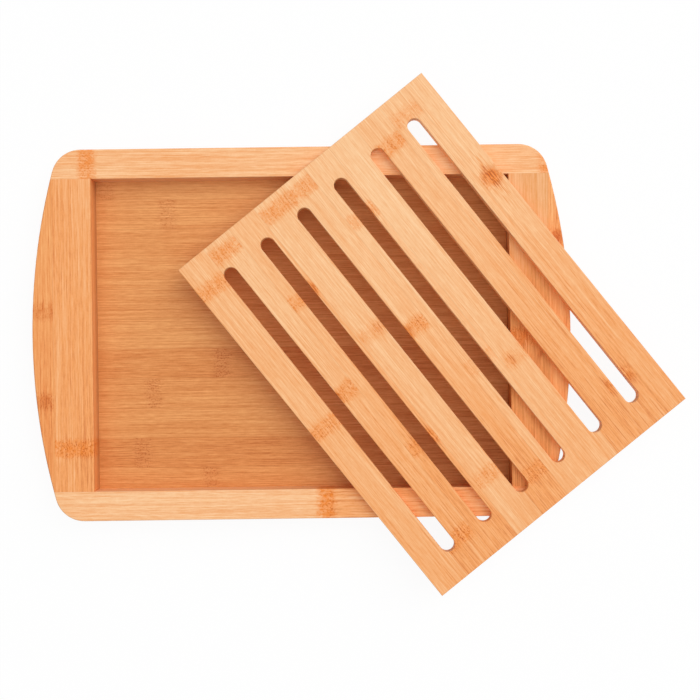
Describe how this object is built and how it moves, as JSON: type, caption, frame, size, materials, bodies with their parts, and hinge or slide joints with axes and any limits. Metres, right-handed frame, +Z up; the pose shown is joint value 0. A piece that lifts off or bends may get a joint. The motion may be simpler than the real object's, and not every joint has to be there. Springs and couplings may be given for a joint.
{
  "type": "bread board",
  "caption": "Bamboo bread board: a shallow crumb tray with bowed ends, and a loose slotted cutting grid laid askew on its rim.",
  "frame": {"origin": "under the middle of the tray, on the surface that it stands on", "axes": "+Z up, +X along the tray towards the end that the grid hangs over, +Y across it towards the far long rail"},
  "size_m": [0.4822, 0.3848, 0.0265],
  "materials": {
    "bamboo_rail": "smooth, oiled bamboo",
    "bamboo_end_rail": "smooth, oiled bamboo",
    "bamboo_end_outer": "smooth, oiled bamboo",
    "bamboo_floor": "smooth, oiled bamboo",
    "bamboo_grid": "smooth, oiled bamboo"
  },
  "bodies": {
    "tray": {"long_rail_far": "bamboo_rail", "long_rail_near": "bamboo_rail", "end_rail_left_inner_strip": "bamboo_end_rail", "end_rail_right_inner_strip": "bamboo_end_rail", "end_rail_left_outer_strip": "bamboo_end_outer", "end_rail_right_outer_strip": "bamboo_end_outer", "floor_strip_01": "bamboo_floor", "floor_strip_02": "bamboo_floor", "floor_strip_03": "bamboo_floor", "floor_strip_04": "bamboo_floor", "floor_strip_05": "bamboo_floor", "floor_strip_06": "bamboo_floor", "floor_strip_07": "bamboo_floor", "floor_strip_08": "bamboo_floor", "floor_strip_09": "bamboo_floor", "floor_strip_10": "bamboo_floor", "floor_strip_11": "bamboo_floor"},
    "grid": {"grid_strip_01": "bamboo_grid", "grid_strip_02": "bamboo_grid", "grid_strip_03": "bamboo_grid", "grid_strip_04": "bamboo_grid", "grid_strip_05": "bamboo_grid", "grid_strip_06": "bamboo_grid", "grid_strip_07": "bamboo_grid", "grid_strip_08": "bamboo_grid", "grid_strip_09": "bamboo_grid", "grid_strip_10": "bamboo_grid"}
  },
  "joints": [
    {"name": "grid_lift", "type": "slide", "parent": "tray", "child": "grid", "axis": [0, 0, 1], "range_m": [0, 0.08]}
  ]
}
